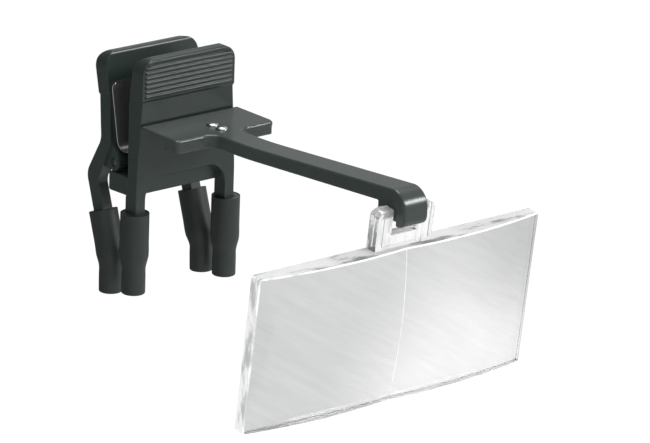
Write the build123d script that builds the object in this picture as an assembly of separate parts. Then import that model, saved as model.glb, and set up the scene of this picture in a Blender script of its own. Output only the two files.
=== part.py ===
from build123d import *
import math
import os

# Clip-on eyeglass loupe: a sprung clip with four sleeved legs, a riveted T-arm and a prismatic lens.
# Millimetres, +Z up. The wearer sits on the +Y side, and the arm reaches out along -Y.
# The pieces are drawn with Y = 0 on the front jaw's face and Z = 0 on top of the T-plate.
# They are then moved so that the origin lies where the sleeves pinch the spectacles.

# Both jaws: widths seen from the front, heights, and the ribbed finger pads
jaw_half_width = 15.05
pad_inset = 1.1
waist_inset = 1.25
leg_width = 2.9
taper_radius = 60.0
pad_height = 9.8
pad_corner_radius = 3.8
pad_proud = 0.25
pad_step = 0.5
rib_count = 8
rib_pitch = 1.16
rib_width = 0.72
rib_height = 0.38
top_rib_height = 0.3
rib_inset = 0.5
pad_edge_radius = 0.9
edge_bevel = 0.15

# Front jaw, upright: plate, two straight legs, arch, hinge block and the tongue under the T-plate
front_top = 15.75
front_lip_thickness = 3.4
front_belly_thickness = 4.9
front_belly_height = 4.0
front_waist_thickness = 3.4
front_leg_depth = 4.0
front_arch_top = -13.6
front_arch_radius = 5.4
taper_low = -15.0
block_back = 10.8
block_bottom = -18.55
block_front_rise = 0.3
block_corner_radius = 0.6
block_inset = 0.25
tongue_half_width = 4.5
tongue_length = 13.8
tongue_thickness = 2.1

# Rear jaw, drawn in its own upright frame about the hinge pin and then leant back
rear_lean = 12.5
rear_outer_offset = 3.2
rear_inner_offset = -0.3
rear_top_inner_offset = -0.9
rear_top = 26.6
bend_start = 5.6
bend_end = -2.6
bend_inner_start = 4.6
bend_inner_end = -4.5
bend_outer_radius = 4.2
bend_inner_radius = 3.2
rear_leg_thickness = 3.8
rear_leg_offset_high = 8.6
rear_leg_offset_low = 6.3
rear_arch_top = -1.0
rear_web_reach = 4.4
rear_web_bottom = -0.9
rear_arch_radius = 3.0
squeeze_angle = 18.0

# Hinge between the jaws
pin_y = 9.6
pin_z = -11.6
pin_radius = 1.0
pin_end_proud = 0.25
pin_end_chamfer = 0.25
knuckle_radius = 2.1
front_web_turn = 16.0
rear_web_turn = 30.0
rear_knuckle_width = 4.7
knuckle_side_gap = 0.15
rear_knuckle_inset = 0.55
running_clearance = 0.05

# Leaf spring: one bent strip of sheet steel, between the handles
spring_thickness = 0.45
spring_side_inset = 0.55
spring_gap = 0.1
spring_bottom = -8.6
spring_bend_radius = 2.3
spring_leaf_radius = 9.0
spring_front_top = 9.2
spring_rear_top = 7.3
spring_foot_y = 4.75
spring_rear_foot_y = 9.75
spring_corner_radius = 1.6

# Rubber sleeves over the leg ends
sleeve_length = 20.2
sleeve_grip_depth = 12.0
sleeve_radius = 3.44
sleeve_neck_radius = 2.84
sleeve_shoulder_rise = 1.4
sleeve_neck_drop = 1.8
sleeve_bend_lap = 0.7
sleeve_bore_radius = 2.5
sleeve_tip_bore_radius = 1.9
front_sleeve_top = -22.4
rear_sleeve_top = -12.3
rear_sleeve_bend = 8.0
leg_end_clearance = 0.3
leg_corner_radius = 0.55
grip_rise = 2.4

# T-plate and arm, one moulding
plate_inset = 0.1
plate_depth = 14.2
plate_thickness = 1.2
plate_jaw_gap = 0.4
plate_corner_radius = 1.3
plate_back_radius = 0.6
bar_inset = 0.15
bar_length = 4.8
bar_front_inset = 0.05
bar_thickness = 3.2
bar_corner_radius = 1.2
pocket_clearance = 0.1
arm_half_width = 3.65
arm_root_thickness = 3.05
arm_thickness = 3.4
arm_root_radius = 3.0
arm_bend_y = -25.5
arm_bend_radius = 200.0
arm_rise_angle = 4.05
arm_edge_bevel = 0.4
hook_front_y = -83.1
hook_outer_radius = 4.6
hook_toe_drop = 3.2
hook_toe_radius = 2.4
hook_toe_thickness = 2.8
barrel_setback = 9.1
barrel_radius = 1.85
small_round = 0.3

# Lens pivot: black trunnions on the hook, in blind holes of the clear ears
pivot_setback = 4.7
pivot_drop = 5.42
trunnion_radius = 1.0
trunnion_length = 3.2

# Lens: two clear halves with convex fronts that meet at a vertical seam
lens_tilt = 6.7
lens_half_width = 42.0
lens_height = 38.8
lens_top_drop = 8.45
lens_back_offset = 1.62
lens_centre_thickness = 6.0
lens_front_radius = 138.0
lens_crown_x = 19.5
lens_top_corner_radius = 0.8
lens_bottom_corner_radius = 1.0
ear_thickness = 3.3
ear_outer = 8.1
ear_side_gap = 0.2
web_gap_radius = 5.2
ear_bevel = 0.4

# Rivets through the T-plate and the tongue
rivet_ys = (-9.0, -12.5)
rivet_x = 0.4
rivet_radius = 0.6
rivet_head_radius = 1.15
rivet_head_height = 0.55
rivet_tail_radius = 0.95
rivet_tail_height = 0.35

# An edge counts as steep where its direction rises by at least this share of its length
steep_share = 0.9

# One overrun serves every cut and every joint between fused bodies
overrun = 1.0
far = 120.0


def rounded_face(corners):
    """Closed face from corners given as (across, up, radius)."""
    points = [(across, up) for across, up, _ in corners]
    radii = [radius for _, _, radius in corners]
    return make_face(FilletPolyline(*points, radius=radii, close=True).edges())


def across(face, half_width):
    """Side view (Y across, Z up) carried to both sides along X."""
    return extrude(Plane.YZ * face, amount=half_width, both=True)


def between(face, inner_x, outer_x):
    """Side view carried from one X to another."""
    return Pos(inner_x, 0, 0) * extrude(Plane.YZ * face, amount=outer_x - inner_x)


def through(face):
    """Front view (X across, Z up) carried right through along Y."""
    return extrude(Plane.XZ * face, amount=far, both=True)


def both_sides(solid):
    """The solid and its mirror image across the middle plane."""
    return [solid, mirror(solid, about=Plane.YZ)]


def one(shape):
    """The single solid of a shape that is one piece."""
    return shape.solids()[0]


def jaw_outline(top, pad_low, low_taper, leg_end, arch_top, arch_radius):
    """Front view of a jaw: rounded pad, stepped waist, slow taper, two legs and the arch between them."""
    inner = jaw_half_width - leg_width
    right = [
        (pad_half_width, top, pad_corner_radius),
        (pad_half_width, pad_low, 0),
        (waist_half_width, pad_low - pad_step, 0),
        (jaw_half_width, low_taper, taper_radius),
        (jaw_half_width, leg_end, leg_corner_radius),
        (inner, leg_end, leg_corner_radius),
        (inner, arch_top, arch_radius),
    ]
    left = [(-x, z, radius) for x, z, radius in reversed(right)]
    return rounded_face(right + left)


def ribs(face_y, top, outward):
    """Raised finger ribs: straight bars, and a top one that follows the pad's rounded corners."""
    half = pad_half_width - rib_inset
    solids = []
    for index in range(rib_count - 1):
        z = top - pad_height + rib_inset + rib_width / 2 + index * rib_pitch
        profile = Pos(face_y, z) * make_face(ThreePointArc(
            (0, -rib_width / 2), (outward * rib_height, 0), (0, rib_width / 2)
        ).edges() + Line((0, rib_width / 2), (0, -rib_width / 2)).edges())
        solids.append(across(profile, half - rib_width / 2))
    band_top = top - rib_inset / 2
    band_low = top - pad_height + rib_inset + (rib_count - 1) * rib_pitch
    outer = rounded_face([
        (half, band_top, pad_corner_radius - rib_inset), (half, band_top - pad_height, 0),
        (-half, band_top - pad_height, 0), (-half, band_top, pad_corner_radius - rib_inset),
    ])
    inner_half = half - rib_width
    inner = rounded_face([
        (inner_half, band_top - rib_width, pad_corner_radius - rib_inset - rib_width),
        (inner_half, band_top - pad_height - overrun, 0), (-inner_half, band_top - pad_height - overrun, 0),
        (-inner_half, band_top - rib_width, pad_corner_radius - rib_inset - rib_width),
    ])
    band = Pos(0, face_y, 0) * extrude(Plane.XZ * (outer - inner), amount=-outward * top_rib_height)
    keep = Pos(0, face_y, band_low - rib_width / 2 + far / 2) * Box(far, far, far)
    solids.append(band & keep)
    return solids


def knuckle_face(centre_y, centre_z, web):
    """Side view of a hinge knuckle: a round eye and the web that carries it."""
    return make_face(Polyline(*web, close=True).edges()) + Pos(centre_y, centre_z) * Circle(knuckle_radius)


# Places that several pieces share
pad_half_width = jaw_half_width - pad_inset
waist_half_width = jaw_half_width - waist_inset
rear_knuckle_outer = jaw_half_width - rear_knuckle_inset
front_knuckle_half_width = rear_knuckle_outer - rear_knuckle_width - knuckle_side_gap
spring_half_width = waist_half_width - spring_side_inset
plate_half_width = jaw_half_width - plate_inset
sleeve_neck_depth = sleeve_grip_depth + sleeve_neck_drop
front_pad_low = front_top - pad_height
front_leg_end = front_sleeve_top - sleeve_grip_depth + leg_end_clearance
leg_centre_x = jaw_half_width - leg_width / 2
tongue_top = -plate_thickness
rear_frame = Pos(0, pin_y, pin_z) * Rot(-rear_lean, 0, 0)
pivot_y = hook_front_y + pivot_setback
rear_leg_end = rear_sleeve_top - sleeve_grip_depth + leg_end_clearance
rear_leg_slope = (rear_leg_offset_high - rear_leg_offset_low) / (bend_end - rear_leg_end)


def rear_leg_offset(height):
    """Distance of the rear leg's middle line behind the hinge pin, in the rear jaw's frame."""
    return rear_leg_offset_high + (height - bend_end) * rear_leg_slope


def arm_top(y):
    """Height of the arm's rising top line at a distance along it."""
    return (arm_bend_y - y) * math.tan(math.radians(arm_rise_angle))


pivot_z = arm_top(pivot_y) - pivot_drop
lens_frame = Pos(0, pivot_y, pivot_z) * Rot(lens_tilt, 0, 0)


def make_front_jaw():
    """Upright jaw with plate, legs, hinge block with its knuckle, tongue and ribs."""
    side = rounded_face([
        (0, front_leg_end, 0),
        (0, front_pad_low - pad_step, 0),
        (-pad_proud, front_pad_low, 0),
        (-pad_proud, front_top, pad_edge_radius),
        (front_lip_thickness, front_top, front_lip_thickness / 2),
        (front_belly_thickness, front_belly_height, pad_height),
        (front_waist_thickness, front_arch_top, 0),
        (front_leg_depth, front_arch_top - front_arch_radius, 0),
        (front_leg_depth, front_leg_end, 0),
    ])
    outline = jaw_outline(
        front_top, front_pad_low, taper_low, front_leg_end, front_arch_top, front_arch_radius)
    plate = across(side, far) & through(outline)
    front_side_edges = [
        edge for edge in plate.edges()
        if abs(edge.center().X) > leg_centre_x and abs(edge.center().Y) < running_clearance
        and abs((edge % 0.5).Z) > steep_share
    ]
    plate = chamfer(front_side_edges, edge_bevel)
    lowest_eye = pin_z - knuckle_radius
    web_turn = math.radians(front_web_turn)
    block_face = rounded_face([
        (front_waist_thickness - overrun, block_bottom + block_front_rise, 0),
        (block_back, block_bottom, block_corner_radius),
        (block_back, lowest_eye - knuckle_side_gap, block_corner_radius / 2),
        (front_waist_thickness - overrun, lowest_eye - knuckle_side_gap, 0),
    ])
    jaw = plate + across(block_face, jaw_half_width - block_inset)
    web = [
        (front_waist_thickness - overrun, lowest_eye - overrun),
        (front_waist_thickness - overrun, pin_z - knuckle_radius / 2),
        (pin_y - knuckle_radius * math.sin(web_turn), pin_z + knuckle_radius * math.cos(web_turn)),
        (pin_y + knuckle_radius * math.cos(web_turn), pin_z - knuckle_radius * math.sin(web_turn)),
        (block_back, lowest_eye - overrun),
    ]
    jaw += across(knuckle_face(pin_y, pin_z, web), front_knuckle_half_width)
    tongue = Pos(0, -tongue_length / 2, tongue_top - tongue_thickness / 2) * Box(
        tongue_half_width * 2, tongue_length + overrun, tongue_thickness)
    tongue = fillet(tongue.edges().filter_by(Axis.Z).group_by(Axis.Y)[0], plate_corner_radius)
    jaw += Pos(0, overrun / 2, 0) * tongue
    for solid in ribs(-pad_proud, front_top, -1):
        jaw += solid
    jaw -= Pos(0, pin_y, pin_z) * Rot(0, 90, 0) * Cylinder(pin_radius, far)
    for y in rivet_ys:
        jaw -= Pos(rivet_x, y, tongue_top) * Cylinder(rivet_radius, (tongue_thickness + overrun) * 2)
    return one(jaw)


def make_rear_jaw():
    """Leaning jaw: ribbed pad, plate, S-bend and two legs, with a knuckle at each side."""
    pad_low = rear_top - pad_height
    half = rear_leg_thickness / 2
    high = rear_leg_offset(bend_end)
    low = rear_leg_offset(rear_leg_end)
    side = rounded_face([
        (rear_top_inner_offset, rear_top, pad_edge_radius),
        (rear_outer_offset + pad_proud, rear_top, half),
        (rear_outer_offset + pad_proud, pad_low, 0),
        (rear_outer_offset, pad_low - pad_step, 0),
        (rear_outer_offset, bend_start, bend_outer_radius),
        (high + half, bend_end, bend_outer_radius),
        (low + half, rear_leg_end, 0),
        (low - half, rear_leg_end, 0),
        (rear_leg_offset(bend_inner_end) - half, bend_inner_end, bend_inner_radius),
        (rear_inner_offset, bend_inner_start, bend_inner_radius),
    ])
    outline = jaw_outline(rear_top, pad_low, bend_start, rear_leg_end, rear_arch_top, rear_arch_radius)
    jaw = across(side, far) & through(outline)
    web_turn = math.radians(rear_web_turn)
    web = [
        (-knuckle_radius * math.cos(web_turn), knuckle_radius * math.sin(web_turn)),
        (rear_inner_offset + overrun, bend_start),
        (rear_web_reach + overrun, rear_web_bottom + overrun),
        (rear_web_reach, rear_web_bottom),
        (knuckle_radius * math.sin(web_turn), -knuckle_radius * math.cos(web_turn)),
    ]
    eye = knuckle_face(0, 0, web)
    for solid in both_sides(between(eye, front_knuckle_half_width + knuckle_side_gap, rear_knuckle_outer)):
        jaw += solid
    for solid in ribs(rear_outer_offset + pad_proud, rear_top, 1):
        jaw += solid
    jaw -= Rot(0, 90, 0) * Cylinder(pin_radius + running_clearance, far)
    return one(rear_frame * jaw)


def make_hinge_pin():
    """Steel pin along the width, held in the middle knuckle and just proud of the outer ones."""
    pin = Cylinder(pin_radius, (rear_knuckle_outer + pin_end_proud) * 2)
    pin = chamfer(pin.edges(), pin_end_chamfer)
    return one(Pos(0, pin_y, pin_z) * Rot(0, 90, 0) * pin)


def make_leaf_spring():
    """One strip of sheet steel: a leaf on the front jaw, a round bend, and a leaf against the rear jaw."""
    reach = spring_rear_top - pin_z
    tilt = math.radians(rear_lean)
    up = reach / math.cos(tilt)
    share = (up - bend_start) / (rear_top - bend_start)
    face_offset = rear_inner_offset + (rear_top_inner_offset - rear_inner_offset) * share
    face_y = pin_y + face_offset * math.cos(tilt) + up * math.sin(tilt)
    rear_tip_y = face_y - spring_gap - spring_thickness / 2
    front_tip_y = front_belly_thickness + spring_gap + spring_thickness / 2
    path = FilletPolyline(
        (front_tip_y, spring_front_top),
        (front_tip_y, front_belly_height),
        (spring_foot_y, spring_bottom),
        (spring_rear_foot_y, spring_bottom),
        (rear_tip_y, spring_rear_top),
        radius=[spring_leaf_radius, spring_bend_radius, spring_bend_radius],
    )
    strip = across(trace(path, line_width=spring_thickness), spring_half_width)
    corners = [
        edge for edge in strip.edges()
        if abs(edge.length - spring_thickness) < running_clearance
        and abs(edge.center().X) > spring_half_width - small_round
        and edge.center().Z > front_belly_height
    ]
    return one(fillet(corners, spring_corner_radius))


def sleeve_tail(radius, bend):
    """Round bar below a sleeve's neck, bent aside there by an angle."""
    length = sleeve_length - sleeve_neck_depth
    tail = Cylinder(radius, length + sleeve_bend_lap, align=(Align.CENTER, Align.CENTER, Align.MIN))
    return Pos(0, 0, -sleeve_neck_depth) * Rot(bend, 0, 0) * Pos(0, 0, -length) * tail


def make_sleeve(bend):
    """Rubber tube hanging from its rim: stretched over the leg, narrower, bent and open below it."""
    shoulder_depth = sleeve_grip_depth - sleeve_shoulder_rise
    outline = Polyline((0, 0), (sleeve_radius, 0), (sleeve_radius, -shoulder_depth),
                       (sleeve_neck_radius, -sleeve_neck_depth), (0, -sleeve_neck_depth), close=True)
    tube = revolve(Plane.XZ * make_face(outline.edges()), axis=Axis.Z)
    tube += sleeve_tail(sleeve_neck_radius, bend)
    tube -= Pos(0, 0, -sleeve_grip_depth / 2) * Cylinder(sleeve_bore_radius, sleeve_grip_depth)
    tube -= Pos(0, 0, -(sleeve_grip_depth + sleeve_neck_depth) / 2) * Cylinder(
        sleeve_tip_bore_radius, sleeve_neck_depth - sleeve_grip_depth)
    return one(tube - sleeve_tail(sleeve_tip_bore_radius, bend))


def make_arm():
    """T-plate, cross bar, long arm and hooked end in one moulding, with the two trunnions."""
    plate_back = -plate_jaw_gap
    plate_front = plate_back - plate_depth
    bar_front = plate_front + bar_front_inset
    bar_back = bar_front + bar_length
    barrel_back_y = hook_front_y + barrel_setback
    hook_bottom = pivot_z - hook_toe_drop
    barrel_top = arm_top(barrel_back_y) - arm_thickness
    barrel_bottom = pivot_z - barrel_radius
    side = rounded_face([
        (bar_back, 0, 0),
        (arm_bend_y, 0, arm_bend_radius),
        (hook_front_y, arm_top(hook_front_y), hook_outer_radius),
        (hook_front_y, hook_bottom, hook_toe_radius),
        (hook_front_y + hook_toe_thickness, hook_bottom, 0),
        (hook_front_y + hook_toe_thickness, barrel_bottom, 0),
        (barrel_back_y, barrel_bottom, barrel_radius),
        (barrel_back_y, barrel_top, small_round),
        (arm_bend_y, -arm_root_thickness, arm_bend_radius),
        (bar_front, -bar_thickness, 0),
        (bar_back, -bar_thickness, small_round),
    ])
    body = across(side, arm_half_width)
    top_side_edges = [
        edge for edge in body.edges()
        if abs(edge.center().X) > arm_half_width - running_clearance
        and (edge.center().Z > small_round or edge.center().Y < hook_front_y + running_clearance)
        and abs((edge % 0.5).X) < running_clearance and abs(edge.center().Y - barrel_back_y) > small_round
    ]
    body = chamfer(top_side_edges, arm_edge_bevel)
    root = plate_front - arm_root_radius - small_round

    def t_shape(half, rear, front, rear_radius, front_radius):
        right = [
            (half, rear, rear_radius),
            (half, front, front_radius),
            (arm_half_width, front, arm_root_radius),
            (arm_half_width, root, 0),
        ]
        return rounded_face(right + [(-x, y, radius) for x, y, radius in reversed(right)])

    plan = t_shape(plate_half_width - bar_inset, bar_back, bar_front, 0, bar_corner_radius)
    below = Pos(0, 0, -(plate_thickness + far) / 2) * Box(far, far, far)
    body += across(side, far) & extrude(plan, amount=far, both=True) & below
    wings = t_shape(plate_half_width, plate_back, plate_front, plate_back_radius, plate_corner_radius)
    plate = extrude(wings, amount=-plate_thickness)
    top_edges = plate.edges().group_by(Axis.Z)[-1].sort_by(Axis.Y)[1:]
    plate = chamfer(top_edges, arm_edge_bevel)
    arm = body + plate
    pocket_half = tongue_half_width + pocket_clearance
    pocket_end = -tongue_length - pocket_clearance
    pocket_low = tongue_top - tongue_thickness - overrun * 2
    pocket = Pos(0, (pocket_end + bar_back + overrun) / 2, (tongue_top + pocket_low) / 2) * Box(
        pocket_half * 2, bar_back + overrun - pocket_end, tongue_top - pocket_low)
    arm -= pocket
    for y in rivet_ys:
        arm -= Pos(rivet_x, y, 0) * Cylinder(rivet_radius, bar_thickness)
    arm += Pos(0, pivot_y, pivot_z) * Rot(0, 90, 0) * Cylinder(
        trunnion_radius, (arm_half_width + trunnion_length) * 2)
    return one(arm)


def make_rivet(y):
    """Low rounded head on the T-plate, shank through plate and tongue, flat tail under the tongue."""
    tongue_low = tongue_top - tongue_thickness
    head = Pos(0, 0, rivet_head_height / 2) * Cylinder(rivet_head_radius, rivet_head_height)
    head = chamfer(head.edges().group_by(Axis.Z)[-1], rivet_head_height / 2, rivet_head_height)
    shank_length = plate_thickness + tongue_thickness + rivet_tail_height + rivet_head_height / 2
    shank = Pos(0, 0, rivet_head_height / 2 - shank_length / 2) * Cylinder(rivet_radius, shank_length)
    tail = Pos(0, 0, tongue_low - rivet_tail_height / 2) * Cylinder(rivet_tail_radius, rivet_tail_height)
    return one(Pos(rivet_x, y, 0) * (head + shank + tail))


def make_lens_right():
    """Right lens half, drawn about the pivot: flat back, convex front, one ear and half of the web."""
    top = -lens_top_drop
    low = top - lens_height
    outline = rounded_face([
        (0, top, 0),
        (lens_half_width, top, lens_top_corner_radius),
        (lens_half_width, low, lens_bottom_corner_radius),
        (0, low, 0),
    ])
    slab = Pos(0, lens_back_offset, 0) * extrude(Plane.XZ * outline, amount=lens_centre_thickness + overrun)
    crown_y = lens_back_offset - lens_centre_thickness + lens_front_radius
    lens = slab & Pos(lens_crown_x, crown_y, top - lens_height / 2) * Sphere(lens_front_radius)
    half = ear_thickness / 2
    ear_inner = arm_half_width + ear_side_gap
    ear_face = rounded_face([
        (half, half, half - small_round), (half, top - overrun, 0),
        (-half, top - overrun, 0), (-half, half, half - small_round),
    ])
    ear = between(ear_face, ear_inner, ear_outer)
    lens += chamfer(ear.edges().filter_by(Axis.Z).group_by(Axis.X)[-1], ear_bevel)
    web_height = lens_top_drop + overrun - web_gap_radius
    web_face = Rectangle(ear_thickness, web_height, align=(Align.CENTER, Align.MIN))
    lens += between(Pos(0, top - overrun) * web_face, 0, ear_inner + overrun / 2)
    hole_length = trunnion_length - ear_side_gap + running_clearance
    lens -= Pos(ear_inner + hole_length / 2, 0, 0) * Rot(0, 90, 0) * Cylinder(
        trunnion_radius + running_clearance, hole_length)
    return one(lens)


# Where the sleeves pinch: midway between the front pair's back and the rear pair's front
sleeve = make_sleeve(0)
bent_sleeve = make_sleeve(rear_sleeve_bend)
front_sleeve = Pos(leg_centre_x, front_leg_depth / 2, front_sleeve_top) * sleeve
rear_sleeve = rear_frame * Pos(leg_centre_x, rear_leg_offset(rear_sleeve_top), rear_sleeve_top) * Rot(
    -math.degrees(math.atan(rear_leg_slope)), 0, 0) * bent_sleeve
grip_z = front_sleeve_top - sleeve_length + grip_rise
grip_slab = Pos(0, 0, grip_z) * Box(far, far, small_round)
front_surface_y = (front_sleeve & grip_slab).bounding_box().max.Y
rear_surface_y = (rear_sleeve & grip_slab).bounding_box().min.Y
grip_y = (front_surface_y + rear_surface_y) / 2
to_grip = Pos(0, -grip_y, -grip_z)
lens_right = lens_frame * make_lens_right()

pieces = {
    "front_jaw": make_front_jaw(),
    "rear_jaw": make_rear_jaw(),
    "hinge_pin": make_hinge_pin(),
    "leaf_spring": make_leaf_spring(),
    "sleeve_front_right": front_sleeve,
    "sleeve_front_left": mirror(front_sleeve, about=Plane.YZ),
    "sleeve_rear_right": rear_sleeve,
    "sleeve_rear_left": mirror(rear_sleeve, about=Plane.YZ),
    "arm": make_arm(),
    "rivet_inner": make_rivet(rivet_ys[0]),
    "rivet_outer": make_rivet(rivet_ys[1]),
    "lens_right": lens_right,
    "lens_left": mirror(lens_right, about=Plane.YZ),
}

os.makedirs("parts", exist_ok=True)
for name, piece in pieces.items():
    export_step(to_grip * piece, f"parts/{name}.step")

print("grip point in the drawing frame, y and z:", round(grip_y, 3), round(grip_z, 3))
print("gap between the sleeve tips at rest:", round(rear_surface_y - front_surface_y, 2))
print("hinge pin from the origin:", round(pin_y - grip_y, 3), round(pin_z - grip_z, 3))
print("lens pivot from the origin:", round(pivot_y - grip_y, 3), round(pivot_z - grip_z, 3))
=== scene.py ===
import bpy
import bmesh
import math
from mathutils import Matrix, Vector


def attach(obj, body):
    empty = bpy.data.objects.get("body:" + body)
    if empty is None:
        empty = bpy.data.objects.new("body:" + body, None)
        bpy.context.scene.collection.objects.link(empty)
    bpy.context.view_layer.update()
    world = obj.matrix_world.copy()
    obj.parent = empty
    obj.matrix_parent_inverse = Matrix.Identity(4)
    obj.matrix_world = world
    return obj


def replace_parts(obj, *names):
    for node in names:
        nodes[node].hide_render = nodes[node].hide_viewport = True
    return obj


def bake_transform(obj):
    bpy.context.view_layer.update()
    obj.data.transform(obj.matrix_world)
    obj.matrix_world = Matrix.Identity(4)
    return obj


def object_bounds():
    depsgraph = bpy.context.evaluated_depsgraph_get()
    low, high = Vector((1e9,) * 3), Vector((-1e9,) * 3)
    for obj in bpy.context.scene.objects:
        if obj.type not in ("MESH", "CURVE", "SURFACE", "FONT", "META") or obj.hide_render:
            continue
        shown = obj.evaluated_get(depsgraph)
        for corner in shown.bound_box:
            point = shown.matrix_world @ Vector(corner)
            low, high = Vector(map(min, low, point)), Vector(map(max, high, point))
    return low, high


# Clip-on eyeglass loupe: looks for the jaws and the arm, and finer sleeves, rivets, spring and lens.
# Lengths are in millimetres in the jaws' own frame, unless a heading says metres. Y = 0 lies on the
# front jaw's face and Z = 0 on top of the T-plate.

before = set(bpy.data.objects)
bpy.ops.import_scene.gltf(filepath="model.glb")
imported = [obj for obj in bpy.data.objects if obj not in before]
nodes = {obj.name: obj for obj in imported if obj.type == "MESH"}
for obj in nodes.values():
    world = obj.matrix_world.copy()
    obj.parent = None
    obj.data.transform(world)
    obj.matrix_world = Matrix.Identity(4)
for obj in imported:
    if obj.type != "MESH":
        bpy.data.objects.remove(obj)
cad_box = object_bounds()
mm = 0.001

# Sizes of the solids that the new pieces follow
grip_y, grip_z = 5.738, -40.2
leg_centre_x = 13.6
leg_width, front_leg_depth, rear_leg_depth = 2.9, 4.0, 3.8
front_sleeve_top = -22.4
pin_y, pin_z, rear_lean = 9.6, -11.6, 12.5
rear_sleeve_top, rear_sleeve_offset, rear_leg_lean = -12.3, 7.56, 6.15
sleeve_length, sleeve_radius, sleeve_neck_radius = 20.2, 3.44, 2.84
sleeve_grip_depth, sleeve_tip_bore_radius = 12.0, 1.9
spring_thickness, spring_half_width = 0.45, 13.25
spring_line = [(5.225, 9.2), (5.225, 4.0), (4.75, -8.6), (9.75, -8.6), (12.79, 7.3)]
spring_radii = [9.0, 2.3, 2.3]
spring_corner_radius = 1.6
rivet_ys = {"inner": -9.0, "outer": -12.5}
rivet_x, rivet_low = 0.4, -3.3
rivet_tail_radius, rivet_tail_height = 0.95, 0.35
arm_half_width = 3.65
pivot_y, pivot_z, lens_tilt = -78.4, -1.674, 6.7
lens_half_width, lens_height, lens_top_drop = 42.0, 38.8, 8.45
lens_back_offset = 1.62
lens_top_corner, lens_bottom_corner = 0.8, 1.0
ear_thickness, ear_side_gap, web_gap_radius = 3.3, 0.2, 5.2
trunnion_radius, trunnion_length, running_clearance = 1.0, 3.2, 0.05

to_row = Matrix.Translation(Vector((0, -grip_y, -grip_z)) * mm) @ Matrix.Scale(mm, 4)

# Camera, at the angle, distance and lens length worked out from the photograph
view_turn, view_drop, view_roll = -0.7116, 0.325, 0.036
camera_place = (-680.4, -840.6, 338.9)
sensor_width, lens_length, far_clip = 36.0, 263.2, 20.0
right0 = Vector((math.cos(view_turn), math.sin(view_turn), 0))
back = Vector((math.sin(view_turn) * math.cos(view_drop),
               -math.cos(view_turn) * math.cos(view_drop), math.sin(view_drop)))
up0 = back.cross(right0)
right = right0 * math.cos(view_roll) + up0 * math.sin(view_roll)
up = up0 * math.cos(view_roll) - right0 * math.sin(view_roll)
camera = bpy.data.objects.new("camera", bpy.data.cameras.new("camera"))
camera.data.sensor_fit = "HORIZONTAL"
camera.data.sensor_width = sensor_width
camera.data.lens = lens_length
camera.data.clip_end = far_clip
turned = Matrix((right, up, back)).transposed().to_4x4()
turned.translation = to_row @ Vector(camera_place)
camera.matrix_world = turned
bpy.context.scene.collection.objects.link(camera)
bpy.context.scene.camera = camera

# Share of a grey's green that it also has in blue
blue_share = 0.75

# How far an edge's rounded direction agrees with the flat one where wear begins, and where it is full
edge_samples, edge_begins, edge_full = 6, 0.995, 0.86


def grey(level, green=0.0):
    """A grey with a share of green."""
    return (level, level * (1 + green), level * (1 + green * blue_share), 1)


class Recipe:
    """A look built from patterns that are laid through the object, and the steps that looks share."""

    def __init__(self, owner, coordinates="Object"):
        owner.use_nodes = True
        self.tree = owner.node_tree
        self.place = self.tree.nodes.new("ShaderNodeTexCoord").outputs[coordinates]

    def node(self, kind, inputs=None, **settings):
        made = self.tree.nodes.new(kind)
        for key, value in settings.items():
            setattr(made, key, value)
        for key, value in (inputs or {}).items():
            if isinstance(value, bpy.types.NodeSocket):
                self.tree.links.new(value, made.inputs[key])
            else:
                made.inputs[key].default_value = value
        return made

    def math(self, operation, *values, clamp=False):
        made = self.node("ShaderNodeMath", dict(enumerate(values)), operation=operation, use_clamp=clamp)
        return made.outputs["Value"]

    def compare(self, operation, one, two):
        """A number worked out from two directions or places."""
        return self.node("ShaderNodeVectorMath", {0: one, 1: two}, operation=operation).outputs["Value"]

    def spread(self, value, low, high, start=0.0, end=1.0, smooth=False):
        """A value between start and end, laid out again between low and high."""
        made = self.node("ShaderNodeMapRange", {"Value": value, "From Min": start, "From Max": end,
                                                "To Min": low, "To Max": high})
        if smooth:
            made.interpolation_type = "SMOOTHSTEP"
        return made.outputs["Result"]

    def mix(self, share, one, two, **settings):
        """A colour between two others."""
        factor, first, second, result = 0, 6, 7, 2
        inputs = {factor: share, first: one, second: two}
        return self.node("ShaderNodeMix", inputs, data_type="RGBA", **settings).outputs[result]

    def between(self, share, one, two):
        """A number between two others."""
        factor, first, second, result = 0, 2, 3, 0
        inputs = {factor: share, first: one, second: two}
        return self.node("ShaderNodeMix", inputs).outputs[result]

    def noise(self, scale, detail=3.0, roughness=0.55, stretch=(1, 1, 1), turn=(0, 0, 0)):
        """Random clouds, with their scale in waves per metre."""
        laid = self.node("ShaderNodeMapping", {"Vector": self.place, "Rotation": turn, "Scale": stretch},
                         vector_type="TEXTURE").outputs["Vector"]
        return self.node("ShaderNodeTexNoise", {"Vector": laid, "Scale": scale, "Detail": detail,
                                                "Roughness": roughness}).outputs["Fac"]

    def toward(self, direction):
        """How far the place lies toward a direction, from -1 to 1."""
        level = self.node("ShaderNodeVectorMath", {0: self.place}, operation="NORMALIZE").outputs["Vector"]
        return self.compare("DOT_PRODUCT", level, direction)

    def near(self, corner, reach):
        """A share that falls from 1 to 0 between two distances from a corner."""
        apart = self.compare("DISTANCE", self.place, corner)
        return self.spread(apart, 1, 0, start=reach[0], end=reach[1], smooth=True)


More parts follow.
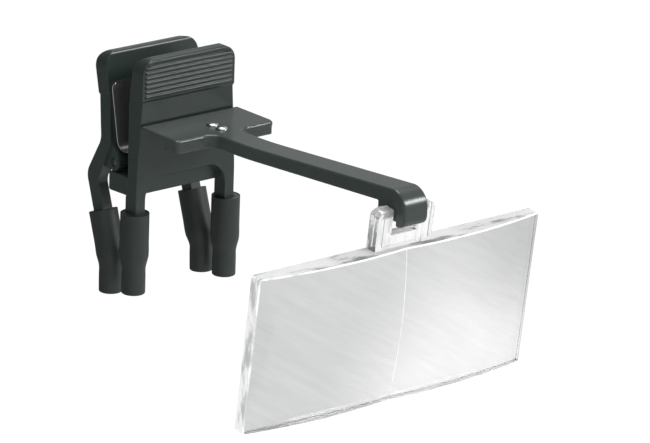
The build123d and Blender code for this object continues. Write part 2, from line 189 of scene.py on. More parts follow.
class Paint(Recipe):
    """The look of a surface."""

    def __init__(self, name):
        self.material = bpy.data.materials.new(name)
        super().__init__(self.material)
        self.shader = self.tree.nodes["Principled BSDF"]

    def set(self, **values):
        for key, value in values.items():
            socket = self.shader.inputs[key.replace("_", " ")]
            if isinstance(value, bpy.types.NodeSocket):
                self.tree.links.new(value, socket)
            else:
                socket.default_value = value

    def bump(self, height, strength, depth, normal=None):
        """Fine relief, with its depth in millimetres."""
        inputs = {"Height": height, "Strength": strength, "Distance": depth * mm}
        if normal is not None:
            inputs["Normal"] = normal
        return self.node("ShaderNodeBump", inputs).outputs["Normal"]

    def edges(self, radius):
        """Rounded shading along edges, and a share that rises at them."""
        soft = self.node("ShaderNodeBevel", {"Radius": radius * mm}, samples=edge_samples).outputs["Normal"]
        true = self.node("ShaderNodeNewGeometry").outputs["True Normal"]
        agreed = self.compare("DOT_PRODUCT", soft, true)
        return soft, self.spread(agreed, 0.0, 1.0, start=edge_begins, end=edge_full)


# Moulded plastic
grain_scale, patch_scale, flow_scale, flow_stretch = 2600, 130, 260, (1, 1, 4)
grain_strength, grain_depth = 0.10, 0.02
patch_shares, wear_shares = (0.2, 0.8), (0.05, 0.5)
plastic_index, worn_green = 1.46, 0.1


def moulded_plastic(name, dark, light, worn, green, roughness, rounding, rubbed):
    """Dark moulded plastic: fine spark-eroded grain, slow unevenness, edges rubbed paler and smoother."""
    paint = Paint(name)
    grain = paint.noise(grain_scale, detail=4)
    patches = paint.noise(patch_scale, detail=2)
    flow = paint.noise(flow_scale, stretch=flow_stretch)
    soft, edge = paint.edges(rounding)
    body = paint.mix(paint.spread(patches, *patch_shares), grey(dark, green), grey(light, green))
    wear = paint.math("MULTIPLY", edge, paint.spread(flow, *wear_shares))
    polish = paint.spread(edge, 1.0, rubbed)
    paint.set(Base_Color=paint.mix(wear, body, grey(worn, worn_green)), IOR=plastic_index,
              Roughness=paint.math("MULTIPLY", paint.spread(grain, *roughness), polish),
              Normal=paint.bump(grain, grain_strength, grain_depth, soft))
    return paint.material


# Rubber
tooth_scale, bloom_scale, drawn_scale, drawn_stretch = 3800, 420, 2200, (1, 1, 25)
tooth_strength, tooth_depth, tooth_coarseness = 0.14, 0.03, 0.65
bloom_shares, rubber_roughness = (0.1, 0.9), (0.46, 0.6)
rubber_index, rubber_green = 1.5, 0.5


def soft_rubber(name, dark, light):
    """Matt black rubber tube: dull bloom in patches, faint lengthwise drawing lines, fine tooth."""
    paint = Paint(name)
    tooth = paint.noise(tooth_scale, detail=4, roughness=tooth_coarseness)
    bloom = paint.noise(bloom_scale, detail=4)
    drawn = paint.noise(drawn_scale, detail=1, stretch=drawn_stretch)
    height = paint.math("ADD", tooth, drawn)
    dull = paint.spread(bloom, *bloom_shares)
    paint.set(Base_Color=paint.mix(dull, grey(dark, rubber_green), grey(light, rubber_green)),
              Roughness=paint.spread(bloom, *rubber_roughness), IOR=rubber_index,
              Normal=paint.bump(height, tooth_strength, tooth_depth))
    return paint.material


# Steel
rolled_scale, cloud_scale = 5200, 300
rolled_strength, rolled_depth = 0.10, 0.01


def sheet_steel(name, stretch, dark, light, roughness, metal):
    """Rolled steel with fine lines along the strip and slow clouds in its brightness."""
    paint = Paint(name)
    lines = paint.noise(rolled_scale, detail=3, stretch=stretch)
    clouds = paint.noise(cloud_scale, detail=3)
    paint.set(Base_Color=paint.mix(clouds, grey(dark), grey(light)), Metallic=metal,
              Roughness=paint.spread(lines, *roughness),
              Normal=paint.bump(lines, rolled_strength, rolled_depth))
    return paint.material


# Clear acrylic: the corners of its painted light and painted shade, and their reaches, are in metres
clear_tint, clear_green, acrylic_index = 0.70, 0.012, 1.49
painted_light_corner, painted_light_reach = (0.022, -0.082, -0.010), (0.010, 0.046)
painted_shade_corner, painted_shade_reach, painted_shade_share = (0.044, -0.085, 0.030), (0.006, 0.034), 0.86
streak_angle, streak_dark, streak_span = 31, 0.91, (0.38, 0.62)
fine_scale, fine_stretch, fine_coarseness, fine_share = 700, (16, 1, 1), 0.6, 0.7
wide_scale, wide_stretch, wide_share = 110, (4, 1, 1), 0.3
ripple_scale, ripple_strength, ripple_depth, clear_roughness = 60, 0.02, 0.02, (0.0, 0.02)


def clear_moulding(name):
    """Clear polished acrylic: faint grey, with painted light that clears it towards one corner and painted
    shade that darkens it near another, and fine slanting draw marks.
    """
    paint = Paint(name)
    turn = (0, math.radians(streak_angle), 0)
    ripple = paint.noise(ripple_scale, detail=1)
    fine = paint.noise(fine_scale, detail=5, roughness=fine_coarseness, stretch=fine_stretch, turn=turn)
    wide = paint.noise(wide_scale, detail=2, stretch=wide_stretch, turn=turn)
    streaks = paint.math("ADD", paint.math("MULTIPLY", fine, fine_share),
                         paint.math("MULTIPLY", wide, wide_share))
    # Painted light: the grey clears to white near one corner. Painted shade: it darkens near another.
    bright = paint.near(painted_light_corner, painted_light_reach)
    tint = paint.mix(bright, grey(clear_tint, clear_green), grey(1.0))
    tint = paint.mix(paint.near(painted_shade_corner, painted_shade_reach), tint, grey(clear_tint * painted_shade_share, clear_green))
    drawn = paint.spread(streaks, 0, 1, start=streak_span[0], end=streak_span[1])
    marks = paint.mix(drawn, grey(streak_dark), grey(1.0))
    paint.set(Base_Color=paint.mix(1.0, tint, marks, blend_type="MULTIPLY"), Transmission_Weight=1.0,
              IOR=acrylic_index, Roughness=paint.spread(ripple, *clear_roughness),
              Normal=paint.bump(ripple, ripple_strength, ripple_depth))
    return paint.material


# Edges of clear acrylic, made milky, with painted light and painted shade in their streaks
milk_scale, milk_coarseness, milk_span, milk_green = 330, 0.62, (0.34, 0.50), 0.03
milk_strength, milk_depth, speck_scale = 0.2, 0.05, 1500


def painted_milky_edge(name, clearness, stretch, dark, pale, roughness):
    """Cut or moulded edge of clear acrylic, made milky: its pale streaks are painted light, for the light
    that it gathers from the whole sheet, and its darker streaks are painted shade.
    """
    paint = Paint(name)
    streaks = paint.noise(milk_scale, detail=4, roughness=milk_coarseness, stretch=stretch)
    specks = paint.noise(speck_scale, detail=3)
    painted_light_share = paint.spread(streaks, 0, 1, start=milk_span[0], end=milk_span[1], smooth=True)
    paint.set(Base_Color=paint.mix(painted_light_share, grey(dark, milk_green), grey(pale)),
              Transmission_Weight=clearness, IOR=acrylic_index,
              Roughness=paint.spread(specks, *roughness),
              Normal=paint.bump(streaks, milk_strength, milk_depth))
    return paint.material


jaw_plastic = moulded_plastic("jaw_plastic", dark=0.014, light=0.019, worn=0.07, green=0.60,
                              roughness=(0.25, 0.33), rounding=0.3, rubbed=0.5)
arm_plastic = moulded_plastic("arm_plastic", dark=0.024, light=0.032, worn=0.08, green=0.34,
                              roughness=(0.20, 0.29), rounding=0.6, rubbed=0.5)
rubber = soft_rubber("sleeve_rubber", dark=0.011, light=0.017)
spring_steel = sheet_steel("spring_steel", stretch=(20, 1, 1), dark=0.034, light=0.055,
                           roughness=(0.30, 0.45), metal=0.3)
spring_edge = sheet_steel("spring_edge", stretch=(1, 12, 12), dark=0.45, light=0.75,
                          roughness=(0.15, 0.30), metal=1.0)
pin_steel = sheet_steel("pin_steel", stretch=(20, 1, 1), dark=0.08, light=0.16,
                        roughness=(0.22, 0.34), metal=1.0)
rivet_steel = sheet_steel("rivet_steel", stretch=(1, 1, 1), dark=0.35, light=0.60,
                          roughness=(0.18, 0.30), metal=1.0)
# The looks other than the face hold painted light and shade: pale streaks of painted light on the edges and
# ears, and painted shade in the grey of the top and bottom crests and in the near-black rim at the right
# end.
lens_looks = {
    "face": clear_moulding("clear_lens"),
    "edge": painted_milky_edge("lens_edge", clearness=0.12, stretch=(4, 1, 4), dark=0.55, pale=0.97,
                       roughness=(0.05, 0.3)),
    "ear": painted_milky_edge("lens_ear", clearness=0.8, stretch=(1, 1, 3), dark=0.80, pale=0.99,
                      roughness=(0.0, 0.08)),
    "rim": painted_milky_edge("lens_rim", clearness=0.3, stretch=(5, 1, 5), dark=0.03, pale=0.30,
                      roughness=(0.05, 0.2)),
    "crest": painted_milky_edge("lens_crest", clearness=0.3, stretch=(4, 1, 1), dark=0.22, pale=0.64,
                        roughness=(0.0, 0.2)),
}


def dress(name, material):
    slots = nodes[name].data.materials
    slots.clear()
    slots.append(material)


dress("front_jaw", jaw_plastic)
dress("rear_jaw", jaw_plastic)
dress("arm", arm_plastic)
dress("hinge_pin", pin_steel)

# Turn in degrees above which an edge of a new piece looks sharp
usual_crease, spring_crease, lens_crease = 35, 50, 24


def new_piece(name, points, faces, materials, crease=usual_crease, which=None):
    """A mesh piece in the row frame; which gives each face the number of its material."""
    mesh = bpy.data.meshes.new(name)
    mesh.from_pydata([to_row @ Vector(p) for p in points], [], faces)
    for material in materials:
        mesh.materials.append(material)
    if which:
        mesh.polygons.foreach_set("material_index", which)
    mesh.shade_smooth()
    mesh.set_sharp_from_angle(angle=math.radians(crease))
    piece = bpy.data.objects.new(name, mesh)
    bpy.context.scene.collection.objects.link(piece)
    return piece


def ease(value):
    """A soft step from 0 to 1."""
    share = min(max(value, 0.0), 1.0)
    return share * share * (3 - 2 * share)


def squarish(angle, half_x, half_y, power):
    """Point of a rounded rectangle at an angle; a power of two gives an ellipse."""
    c, s = math.cos(angle), math.sin(angle)
    reach = (abs(c / half_x) ** power + abs(s / half_y) ** power) ** (-1 / power)
    return Vector((c * reach, s * reach, 0))


def circle_points(radius, count):
    """Pairs round a circle."""
    turns = [math.tau * k / count for k in range(count)]
    return [(radius * math.cos(a), radius * math.sin(a)) for a in turns]


def quarter(steps):
    """Sine and cosine at even steps through a quarter turn."""
    turns = [math.pi / 2 * k / steps for k in range(steps + 1)]
    return [(math.sin(a), math.cos(a)) for a in turns]


def bands(rows, size):
    """Faces between each closed row of points and the next one."""
    faces = []
    for start in range(0, (rows - 1) * size, size):
        for k in range(size):
            n = (k + 1) % size
            faces.append((start + k, start + n, start + size + n, start + size + k))
    return faces


# Rubber sleeves: plumper than the solids, with a softer shoulder and neck
sleeve_turns, rim_steps, tip_steps = 64, 3, 4
rim_round, tip_round = 0.14, 0.3
rim_lap, rim_depth, hold_power, round_power = 0.03, 1.2, 9, 2
bend_half_length, spine_step = 2.6, 0.1
plump, shoulder_depth, neck_depth = 0.06, 10.4, 14.0
shoulder_swell, swell_reach, swell_rise = 0.05, 1.3, 0.9
neck_pinch, pinch_reach, pinch_drop = 0.05, 0.9, 0.4
tube_step, tip_margin, bore_mouth = 0.45, 0.6, 0.15

# How each sleeve sits: its body, shift on the leg, bend in degrees, and the depth of the bend's middle
sleeve_sits = {
    "front_left": ("clip", (-0.1, 0, 0.1), 0, 13.8),
    "front_right": ("clip", (0.6, 0, -0.7), 0, 13.8),
    "rear_left": ("rear", (0, 0, 0.3), 17.5, 10.4),
    "rear_right": ("rear", (0.1, 0, 0.5), 16, 13.0),
}


def sleeve_radius_at(depth):
    drop = ease((depth - shoulder_depth) / (neck_depth - shoulder_depth))
    swell = shoulder_swell * math.exp(-((depth - shoulder_depth + swell_rise) / swell_reach) ** 2)
    pinch = neck_pinch * math.exp(-((depth - neck_depth - pinch_drop) / pinch_reach) ** 2)
    return sleeve_radius + plump + swell - pinch - (sleeve_radius - sleeve_neck_radius) * drop


def sleeve_spine(bend, bend_centre):
    """Centre and turn of the tube at each depth: straight over the leg, then bent below it."""
    points, centre = [], Vector((0, 0, 0))
    for i in range(round(sleeve_length / spine_step) + 1):
        depth = i * spine_step
        angle = math.radians(bend * ease((depth - bend_centre + bend_half_length) / (2 * bend_half_length)))
        points.append((depth, centre.copy(), angle))
        centre += Vector((0, math.sin(angle), -math.cos(angle))) * spine_step
    return points


def spine_at(spine, depth):
    found, centre, angle = spine[min(max(round(depth / spine_step), 0), len(spine) - 1)]
    return centre + Vector((0, math.sin(angle), -math.cos(angle))) * (depth - found), angle


def make_sleeve(name, stand, bend, bend_centre, leg_depth, body):
    """Rubber tube, from inside the mouth that holds the leg, over the outside, and up the bore."""
    spine = sleeve_spine(bend, bend_centre)
    rings = []

    def ring(depth, shape):
        centre, angle = spine_at(spine, depth)
        turn = Matrix.Rotation(angle, 3, "X")
        outline = [shape(math.tau * k / sleeve_turns) for k in range(sleeve_turns)]
        rings.append([stand @ (centre + turn @ point) for point in outline])

    def pipe(radius):
        return lambda angle: squarish(angle, radius, radius, round_power)

    def hold(angle):
        return squarish(angle, leg_width / 2 + rim_lap, leg_depth / 2 + rim_lap, hold_power)

    ring(rim_depth, hold)
    ring(0, hold)
    for s, c in quarter(rim_steps):
        ring(rim_round * (1 - s), pipe(sleeve_radius + plump - rim_round * c))
    depth = tube_step
    while depth < sleeve_length - tip_margin:
        ring(depth, pipe(sleeve_radius_at(depth)))
        depth += tube_step
    tip = sleeve_radius_at(sleeve_length)
    for s, c in quarter(tip_steps):
        ring(sleeve_length - tip_round * (1 - s), pipe(tip - tip_round * (1 - c)))
    ring(sleeve_length, pipe(sleeve_tip_bore_radius + bore_mouth))
    ring(sleeve_length - bore_mouth, pipe(sleeve_tip_bore_radius))
    ring(sleeve_grip_depth + bore_mouth, pipe(sleeve_tip_bore_radius))
    points = [p for one in rings for p in one]
    faces = bands(len(rings), sleeve_turns)
    last = len(points) - sleeve_turns
    faces.append(tuple(last + k for k in range(sleeve_turns)))
    piece = new_piece(name, points, faces, [rubber])
    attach(piece, body)
    return piece


rear_frame = Matrix.Translation((0, pin_y, pin_z)) @ Matrix.Rotation(math.radians(-rear_lean), 4, "X")
rear_leg = (rear_frame @ Matrix.Translation((0, rear_sleeve_offset, rear_sleeve_top))
            @ Matrix.Rotation(math.radians(-rear_leg_lean), 4, "X"))
front_leg = Matrix.Translation((0, front_leg_depth / 2, front_sleeve_top))
for name, (body, shift, bend, bend_centre) in sleeve_sits.items():
    leg, leg_depth = (front_leg, front_leg_depth) if body == "clip" else (rear_leg, rear_leg_depth)
    side = -1 if name.endswith("left") else 1
    stand = leg @ Matrix.Translation(Vector((side * leg_centre_x, 0, 0)) + Vector(shift))
    piece = make_sleeve("rubber_" + name, stand, bend, bend_centre, leg_depth, body)
    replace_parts(piece, "sleeve_" + name)


# Rivets: a low dome on the plate, a shank a little thinner than its hole, and a set tail under the tongue
dome_turns, dome_steps = 48, 8
dome_radius, dome_height, dome_lip, shank_radius = 1.45, 0.62, 0.12, 0.55


def make_rivet(name, y):
    """A profile from the dome's top to the tail's bottom, turned about the rivet's upright line."""
    arc = [(dome_radius * s, dome_lip + (dome_height - dome_lip) * c) for s, c in quarter(dome_steps)]
    tail_low = rivet_low - rivet_tail_height
    profile = arc + [(dome_radius, 0), (shank_radius, 0), (shank_radius, rivet_low),
                     (rivet_tail_radius, rivet_low), (rivet_tail_radius, tail_low), (0, tail_low)]
    rows = profile[1:-1]
    points = [(rivet_x + across, y + along, z) for radius, z in rows
              for across, along in circle_points(radius, dome_turns)]
    faces = [tuple(reversed(face)) for face in bands(len(rows), dome_turns)]
    top, low = len(points), len(points) + 1
    last = top - dome_turns
    points += [(rivet_x, y, profile[0][1]), (rivet_x, y, profile[-1][1])]
    for k in range(dome_turns):
        n = (k + 1) % dome_turns
        faces.append((top, k, n))
        faces.append((low, last + n, last + k))
    piece = new_piece(name, points, faces, [rivet_steel])
    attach(piece, "clip")
    return piece


for name, y in rivet_ys.items():
    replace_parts(make_rivet("dome_" + name, y), "rivet_" + name)


# Leaf spring: a strip bent between the two jaws
spring_edge_round, spring_step, spring_columns, arc_steps = 0.08, 0.8, 8, 12


def rounded_line(corners, radii):
    """Points along a broken line whose inner corners are turned into arcs."""
    points = [Vector(corners[0])]
    for i, radius in enumerate(radii):
        before, corner, after = (Vector(corners[i + k]) for k in range(3))
        to_before = (before - corner).normalized()
        to_after = (after - corner).normalized()
        half = to_before.angle(to_after) / 2
        middle = corner + (to_before + to_after).normalized() * (radius / math.sin(half))
        start = corner + to_before * (radius / math.tan(half)) - middle
        end = corner + to_after * (radius / math.tan(half)) - middle
        sweep = start.angle_signed(end)
        for k in range(arc_steps + 1):
            c, s = math.cos(-sweep * k / arc_steps), math.sin(-sweep * k / arc_steps)
            points.append(middle + Vector((c * start.x - s * start.y, s * start.x + c * start.y)))
    points.append(Vector(corners[-1]))
    return points


def make_spring():
    """The strip, with bright cut edges and round corners at its two free ends."""
    line = rounded_line(spring_line, spring_radii)
    dense = []
    for a, b in zip(line, line[1:]):
        pieces = max(1, math.ceil((b - a).length / spring_step))
        dense += [a.lerp(b, k / pieces) for k in range(pieces)]
    dense.append(line[-1])
    lengths = [0.0]
    for a, b in zip(dense, dense[1:]):
        lengths.append(lengths[-1] + (b - a).length)
    columns = [-1 + 2 * k / spring_columns for k in range(spring_columns + 1)]
    half = spring_thickness / 2
    cut = half - spring_edge_round
    points = []
    rows = len(dense)
    for i, p in enumerate(dense):
        along = (dense[min(i + 1, rows - 1)] - dense[max(i - 1, 0)]).normalized()
        normal = Vector((along.y, -along.x))
        gone = max(spring_corner_radius - min(lengths[i], lengths[-1] - lengths[i]), 0)
        reach = spring_half_width - spring_corner_radius + math.sqrt(spring_corner_radius ** 2 - gone ** 2)
        face_reach = reach - spring_edge_round
        loop = [(u * face_reach, half) for u in columns] + [(reach, cut), (reach, -cut)]
        loop += [(u * face_reach, -half) for u in reversed(columns)] + [(-reach, -cut), (-reach, cut)]
        points += [(x, p.x + normal.x * out, p.y + normal.y * out) for x, out in loop]
    size = len(points) // rows
    faces = bands(rows, size)
    faces.append(tuple(reversed(range(size))))
    faces.append(tuple((rows - 1) * size + k for k in range(size)))
    leaf, edge = 0, 1
    which = [leaf if k % (size // 2) < spring_columns else edge for k in range(size)] * (rows - 1)
    which += [edge, edge]
    return new_piece("spring_strip", points, faces, [spring_steel, spring_edge],
                     spring_crease, which)


spring = make_spring()
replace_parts(spring, "leaf_spring")
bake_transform(spring)


# Lens halves, drawn about the pivot: flat back, convex front, one ear and half of the web between the ears
lens_columns, lens_rows, corner_steps = 40, 36, 3
crown_thickness, crown_x, crown_radius, crown_swell = 5.22, 15.0, 170.0, 1.55
front_bevel, front_bevel_depth, back_bevel = 0.36, 0.14, 0.2
groove_half_width, groove_depth = 0.07, 0.05
seam_reach = groove_half_width / 4
ear_outer, ear_top, ear_step, ear_sink = 8.5, 1.2, 5.1, 0.8
ear_corner_width, ear_corner_height = 2.6, 1.5
ear_round, round_segments, sharp_turn = 0.25, 3, 0.7
ear_turns, hole_turns = 8, 32
web_thickness = 2.9
weld_reach = 0.0001
lens_frame = Matrix.Translation((0, pivot_y, pivot_z)) @ Matrix.Rotation(math.radians(lens_tilt), 4, "X")
lens_top, lens_low = -lens_top_drop, -lens_top_drop - lens_height
crown_z = (lens_top + lens_low) / 2

# How a face's look is told: its rise above the lens, and how square it stands to an axis or to the front
ear_rise, square_share, front_share = 0.05, 0.9, 0.8


def front_at(x, z):
    """Offset of the convex front at a place on it."""
    across = x / lens_half_width
    down = 2 * (z - crown_z) / lens_height
    swell = crown_swell * (1 - across ** 2) * (1 - down ** 2)
    return lens_back_offset - crown_thickness + (x - crown_x) ** 2 / (2 * crown_radius) - swell


def level_side(z, lift, inset, radius):
    """Bottom or top edge from the seam to the middle of the corner; lift is 1 when the body is above it."""
    radius -= inset
    end = lens_half_width - inset - radius
    straight = lens_columns - corner_steps
    xs = [0, groove_half_width]
    xs += [groove_half_width + (end - groove_half_width) * k / (straight - 1) for k in range(1, straight)]
    points = [(x, z + lift * inset) for x in xs]
    for k in range(1, corner_steps + 1):
        a = math.pi / 4 * k / corner_steps
        points.append((end + radius * math.sin(a), z + lift * (inset + radius * (1 - math.cos(a)))))
    return points


def end_side(inset):
    """Outer end from the middle of the bottom corner to the middle of the top one."""
    x = lens_half_width - inset
    low, top = lens_low + inset, lens_top - inset
    low_radius, top_radius = lens_bottom_corner - inset, lens_top_corner - inset
    points = []
    for k in range(corner_steps):
        a = math.pi / 4 * (1 - k / corner_steps)
        points.append((x - low_radius * (1 - math.cos(a)), low + low_radius * (1 - math.sin(a))))
    straight = lens_rows - 2 * corner_steps
    start, end = lens_low + lens_bottom_corner, lens_top - lens_top_corner
    points += [(x, start + (end - start) * k / straight) for k in range(straight + 1)]
    for k in range(1, corner_steps + 1):
        a = math.pi / 4 * k / corner_steps
        points.append((x - top_radius * (1 - math.cos(a)), top - top_radius * (1 - math.sin(a))))
    return points


def lens_sheet(inset):
    """Points of a face of the lens in rows, blended between its four sides."""
    low = level_side(lens_low, 1, inset, lens_bottom_corner)
    high = level_side(lens_top, -1, inset, lens_top_corner)
    end = end_side(inset)
    rows = []
    for j in range(lens_rows + 1):
        v = (end[j][1] - end[0][1]) / (end[-1][1] - end[0][1])
        seam_z = low[0][1] + (high[0][1] - low[0][1]) * v
        row = []
        for i in range(lens_columns + 1):
            u = low[i][0] / low[-1][0]
            upright = [(1 - v) * low[i][k] + v * high[i][k] for k in range(2)]
            across = (u * end[j][0], (1 - u) * seam_z + u * end[j][1])
            square = [(1 - u) * ((1 - v) * low[0][k] + v * high[0][k])
                      + u * ((1 - v) * low[-1][k] + v * high[-1][k]) for k in range(2)]
            row.append((upright[0] + across[0] - square[0], upright[1] + across[1] - square[1]))
        rows.append(row)
    return rows


def rim_of(rows):
    """The outer run of a sheet, round from the seam's lower end."""
    return rows[0] + [row[-1] for row in rows[1:]] + rows[-1][-2::-1] + [row[0] for row in rows[-2:0:-1]]


def slab_mesh():
    """Half of the lens's body as a closed mesh: two sheets, two chamfers and the wall between them."""
    mesh = bmesh.new()

    def sheet(rows, depth_at, flip):
        grid = [[mesh.verts.new((x, depth_at(i, x, z), z)) for i, (x, z) in enumerate(row)] for row in rows]
        for j in range(len(grid) - 1):
            for i in range(len(grid[0]) - 1):
                corners = (grid[j][i], grid[j][i + 1], grid[j + 1][i + 1], grid[j + 1][i])
                mesh.faces.new(reversed(corners) if flip else corners)
        return rim_of(grid)

    front = sheet(lens_sheet(front_bevel), lambda i, x, z: front_at(x, z) + (groove_depth if i == 0 else 0),
                  False)
    rear = sheet(lens_sheet(back_bevel), lambda i, x, z: lens_back_offset, True)
    edge = rim_of(lens_sheet(0))
    shoulder = [mesh.verts.new((x, front_at(x, z) + front_bevel_depth, z)) for x, z in edge]
    heel = [mesh.verts.new((x, lens_back_offset - back_bevel, z)) for x, z in edge]
    for one, two in ((front, shoulder), (shoulder, heel), (heel, rear)):
        for k in range(len(edge)):
            n = (k + 1) % len(edge)
            mesh.faces.new((one[n], one[k], two[k], two[n]))
    bmesh.ops.remove_doubles(mesh, verts=mesh.verts, dist=weld_reach)
    bmesh.ops.recalc_face_normals(mesh, faces=mesh.faces)
    return mesh


def prism(outline, start, end, along="x"):
    """A closed bar along the width with an outline of (y, z) points, or along y with one of (x, z)."""
    mesh = bmesh.new()
    ends = [[mesh.verts.new((reach, a, b) if along == "x" else (a, reach, b)) for a, b in outline]
            for reach in (start, end)]
    mesh.faces.new(ends[0])
    mesh.faces.new(list(reversed(ends[1])))
    for k in range(len(outline)):
        n = (k + 1) % len(outline)
        mesh.faces.new((ends[0][n], ends[0][k], ends[1][k], ends[1][n]))
    bmesh.ops.recalc_face_normals(mesh, faces=mesh.faces)
    return mesh


def round_off(mesh, radius):
    sharp = [e for e in mesh.edges if len(e.link_faces) == 2 and e.calc_face_angle() > sharp_turn]
    bmesh.ops.bevel(mesh, geom=sharp, offset=radius, segments=round_segments, profile=0.5, affect="EDGES")


def loose(mesh, name):
    """An object made from a mesh that is still being edited."""
    data = bpy.data.meshes.new(name)
    mesh.to_mesh(data)
    mesh.free()
    piece = bpy.data.objects.new(name, data)
    bpy.context.scene.collection.objects.link(piece)
    return piece


def combine(target, tool, operation):
    """Fuse a tool with the target, or cut it out, and remove the tool."""
    change = target.modifiers.new("change", "BOOLEAN")
    change.operation = operation
    change.solver = "EXACT"
    change.object = tool
    graph = bpy.context.evaluated_depsgraph_get()
    data = bpy.data.meshes.new_from_object(target.evaluated_get(graph))
    target.modifiers.clear()
    target.data = data
    bpy.data.objects.remove(tool)


def ear_parts():
    """The stepped ear, its thinner cheek, half of the web, and the trunnion's hole, which is cut out."""
    ear_half, web_half = ear_thickness / 2, web_thickness / 2
    ear_inner = arm_half_width + ear_side_gap
    foot = lens_top - ear_sink
    corner = [(ear_outer - ear_corner_width * (1 - c), ear_top - ear_corner_height * (1 - s))
              for s, c in quarter(ear_turns)]
    ear = prism([(ear_step, foot), (ear_outer, foot)] + corner + [(ear_step, ear_top)],
                -ear_half, ear_half, "y")
    round_off(ear, ear_round)
    cheek_end = ear_step + 2 * ear_round
    cheek = prism([(ear_inner, foot), (cheek_end, foot), (cheek_end, ear_top), (ear_inner, ear_top)],
                  -web_half, web_half, "y")
    round_off(cheek, ear_round)
    web = prism([(-web_half, foot), (web_half, foot), (web_half, -web_gap_radius),
                 (-web_half, -web_gap_radius)], 0, ear_inner + 2 * ear_round)
    hole = prism(circle_points(trunnion_radius + running_clearance, hole_turns),
                 ear_inner - ear_side_gap,
                 ear_inner + trunnion_length - ear_side_gap + running_clearance)
    return (ear, "UNION"), (cheek, "UNION"), (web, "UNION"), (hole, "DIFFERENCE")


def lens_look(middle, normal, side):
    """Name of a face's look, from where it lies and faces. The right end is clear, with a rim of painted
    shade.
    """
    in_front = normal.y < 0
    at_end = abs(middle.x) > lens_half_width - front_bevel
    at_level = min(lens_top - middle.z, middle.z - lens_low) < front_bevel
    at_seam = abs(middle.x) < groove_half_width
    if middle.z > lens_top + ear_rise:
        return "ear"
    if abs(normal.z) > square_share:
        return "crest"
    if side > 0 and at_end:
        return "rim" if in_front and abs(normal.x) < square_share else "face"
    if abs(normal.y) < front_share or (in_front and (at_end or at_level or at_seam)):
        return "edge"
    return "face"


def make_lens(name, side):
    """One half of the lens with its ear, mirrored for the left, open at the seam where the halves meet."""
    parts = ear_parts()
    body = loose(slab_mesh(), name)
    for part, operation in parts:
        combine(body, loose(part, "tool"), operation)
    mesh = bmesh.new()
    mesh.from_mesh(body.data)
    seam = [f for f in mesh.faces if max(abs(v.co.x) for v in f.verts) < seam_reach]
    bmesh.ops.delete(mesh, geom=seam, context="FACES")
    if side < 0:
        bmesh.ops.scale(mesh, vec=(-1, 1, 1), verts=mesh.verts)
        bmesh.ops.reverse_faces(mesh, faces=mesh.faces)
    mesh.transform(to_row @ lens_frame)
    data = bpy.data.meshes.new(name)
    mesh.to_mesh(data)
    mesh.free()
    body.data = data
    for material in lens_looks.values():
        data.materials.append(material)
    numbers = {look: number for number, look in enumerate(lens_looks)}
    back_to_pivot = (to_row @ lens_frame).inverted()
    turn = back_to_pivot.to_3x3().normalized()
    for face in data.polygons:
        look = lens_look(back_to_pivot @ face.center, turn @ face.normal, side)
        face.material_index = numbers[look]
    data.shade_smooth()
    data.set_sharp_from_angle(angle=math.radians(lens_crease))
    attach(body, "lens")
    return body


for name, side in (("left", -1), ("right", 1)):
    piece = make_lens("clear_half_" + name, side)
    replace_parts(piece, "lens_" + name)


# Studio, in metres: white all round for the camera, while gloss sees it dimmer behind the object's left
bright_side = (0.62, -0.78, 0.0)
plain_level, through_level = 0.85, 0.95
gloss_levels, gloss_turn = (0.06, 0.70), (-0.9, 0.4)
floor_share, floor_tones, floor_scale = 0.93, (0.86, 0.88), 3
floor_drop, floor_reach = 0.06, 3.0

studio = bpy.data.worlds.new("studio")
bpy.context.scene.world = studio
sky = Recipe(studio, "Generated")


def seen_level(recipe, other):
    """Brightness that is seen: white for the camera, less in gloss and through glass, other elsewhere."""
    ray = recipe.node("ShaderNodeLightPath").outputs
    shiny = recipe.spread(recipe.toward(bright_side), *gloss_levels, start=gloss_turn[0], end=gloss_turn[1],
                          smooth=True)
    level = recipe.spread(ray["Is Camera Ray"], other, 1.0)
    level = recipe.between(ray["Is Glossy Ray"], level, shiny)
    return recipe.between(ray["Is Transmission Ray"], level, through_level)


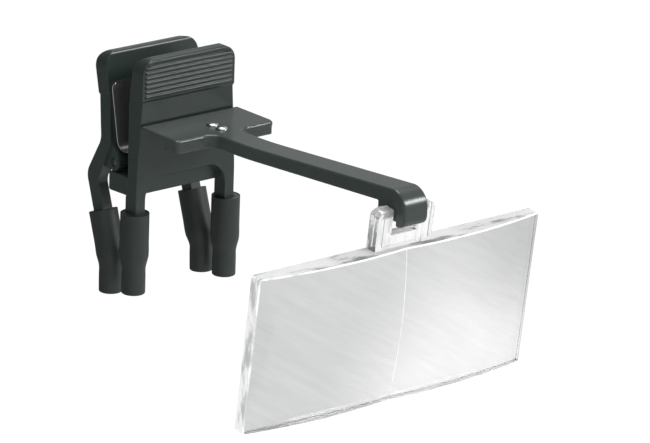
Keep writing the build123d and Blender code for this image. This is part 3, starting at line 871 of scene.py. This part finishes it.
background = sky.tree.nodes["Background"].inputs
background["Color"].default_value = grey(1.0)
sky.tree.links.new(seen_level(sky, plain_level), background["Strength"])

pale = Paint("pale_floor")
clouds = pale.mix(pale.noise(floor_scale, detail=2), grey(floor_tones[0]), grey(floor_tones[1]))
lit = pale.node("ShaderNodeBsdfDiffuse", {"Color": clouds}).outputs["BSDF"]
glow = pale.node("ShaderNodeEmission", {"Color": grey(1.0), "Strength": seen_level(pale, 0.0)})
ray = pale.node("ShaderNodeLightPath").outputs
seen = pale.math("ADD", ray["Is Camera Ray"], ray["Is Transmission Ray"], clamp=True)
seen = pale.math("ADD", seen, ray["Is Glossy Ray"], clamp=True)
both = pale.node("ShaderNodeMixShader", {0: pale.math("MULTIPLY", seen, floor_share), 1: lit,
                                         2: glow.outputs["Emission"]})
pale.tree.links.new(both.outputs["Shader"], pale.tree.nodes["Material Output"].inputs["Surface"])

mesh = bpy.data.meshes.new("floor")
mesh.from_pydata([(x * floor_reach, y * floor_reach, 0) for x, y in ((-1, -1), (1, -1), (1, 1), (-1, 1))],
                 [], [(0, 1, 2, 3)])
mesh.materials.append(pale.material)
floor = bpy.data.objects.new("floor", mesh)
floor.location.z = cad_box[0][2] - floor_drop
bpy.context.scene.collection.objects.link(floor)

# Lamps: each has its direction from the object, its distance and width in metres, and its watts
lamps = {
    "key": ((0.60, -0.66, 0.45), 1.2, 0.26, 6.5),
    "fill": ((0.15, -0.85, 0.5), 1.2, 0.7, 1.2),
    "top": ((0.25, 0.25, 0.94), 1.0, 0.5, 8.0),
}
lamp_aim = Vector((0, -0.04, 0.02))
for name, (direction, distance, size, watts) in lamps.items():
    data = bpy.data.lights.new(name, "AREA")
    data.size = size
    data.energy = watts
    light = bpy.data.objects.new(name, data)
    light.location = lamp_aim + Vector(direction).normalized() * distance
    light.rotation_euler = (lamp_aim - light.location).to_track_quat("-Z", "Y").to_euler()
    bpy.context.scene.collection.objects.link(light)

bpy.context.scene.view_settings.view_transform = "Standard"
